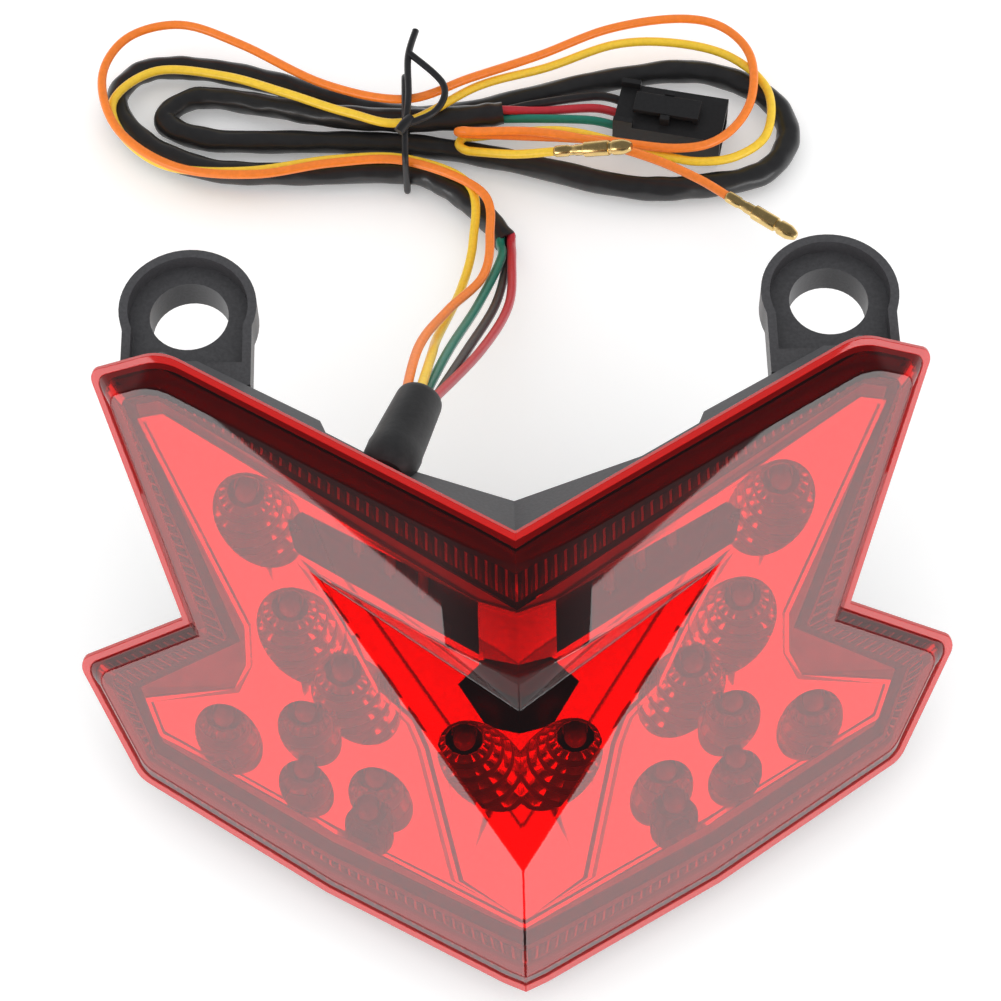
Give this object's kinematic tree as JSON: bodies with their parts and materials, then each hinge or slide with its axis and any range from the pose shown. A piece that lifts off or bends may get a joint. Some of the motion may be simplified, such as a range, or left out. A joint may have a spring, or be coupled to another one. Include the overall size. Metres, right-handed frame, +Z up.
{
  "type": "motorcycle tail light",
  "caption": "Red V-shaped LED tail light with swept wings, two mounting ears, a chromed reflector, and a coiled harness with a plug and bullet leads.",
  "frame": {"origin": "midway between the two ear bores, at half their length, on the mirror plane of the lamp", "axes": "+X to the lamp's left wing seen from its front, so right in a view along +Y; +Y forwards from the lens to the harness; +Z up, along the ear bores"},
  "size_m": [0.2051, 0.2715, 0.0834],
  "materials": {
    "lens_red": "clear red acrylic, polished",
    "sealant": "grey sealant bead",
    "black_plastic": "moulded ABS, fine texture",
    "chrome": "vacuum metallised, mirror finish",
    "board": "solder mask over laminate",
    "led_resin": "clear epoxy",
    "resistor_body": "lacquered film resistor",
    "steel": "zinc plated",
    "black_rubber": "soft moulded rubber",
    "wire_yellow_pvc": "smooth PVC",
    "wire_orange_pvc": "smooth PVC",
    "wire_black_pvc": "smooth PVC",
    "wire_red_pvc": "smooth PVC",
    "wire_green_pvc": "smooth PVC",
    "sleeve_pvc": "soft PVC tube, creased",
    "tie_plastic": "paper-thin plastic over wire",
    "plug_plastic": "moulded nylon",
    "brass": "bright brass"
  },
  "bodies": {
    "lamp": {"lens": "lens_red", "lens_seal": "sealant", "housing": "black_plastic", "reflector": "chrome", "board_left": "board", "board_right": "board", "board_centre": "board", "brake_leds_left": "led_resin", "brake_leds_right": "led_resin", "turn_leds_left": "led_resin", "turn_leds_right": "led_resin", "centre_leds": "led_resin", "resistors": "resistor_body", "diodes": "black_plastic", "board_screws": "steel", "inner_wires": "wire_red_pvc", "wire_boot": "black_rubber"},
    "harness": {"wire_yellow": "wire_yellow_pvc", "wire_orange": "wire_orange_pvc", "wire_black": "wire_black_pvc", "wire_red": "wire_red_pvc", "wire_green": "wire_green_pvc", "harness_sleeve": "sleeve_pvc", "twist_tie": "tie_plastic", "plug_housing": "plug_plastic", "plug_terminals": "brass"},
    "latch": {"plug_latch": "plug_plastic"},
    "yellow_lead": {"lead_yellow": "wire_yellow_pvc", "bullet_yellow": "brass"},
    "orange_lead": {"lead_orange": "wire_orange_pvc", "bullet_orange": "brass"}
  },
  "joints": [
    {"name": "harness_lift", "type": "hinge", "parent": "lamp", "child": "harness", "pos_m": [-0.02, -0.0235, 0.005], "axis": [1, 0, 0], "range_deg": [0, 35]},
    {"name": "plug_latch_press", "type": "hinge", "parent": "harness", "child": "latch", "pos_m": [0.04253, 0.09972, -0.0547], "axis": [-0.225, -0.9744, 0], "range_deg": [0, 8], "stiffness_Nm_per_rad": 0.01},
    {"name": "yellow_swing", "type": "hinge", "parent": "harness", "child": "yellow_lead", "pos_m": [-0.007, 0.0888, -0.0566], "axis": [0, 0, 1], "range_deg": [-10, 0]},
    {"name": "orange_swing", "type": "hinge", "parent": "harness", "child": "orange_lead", "pos_m": [-0.007, 0.0915, -0.0516], "axis": [0, 0, 1], "range_deg": [-12, 0]}
  ]
}
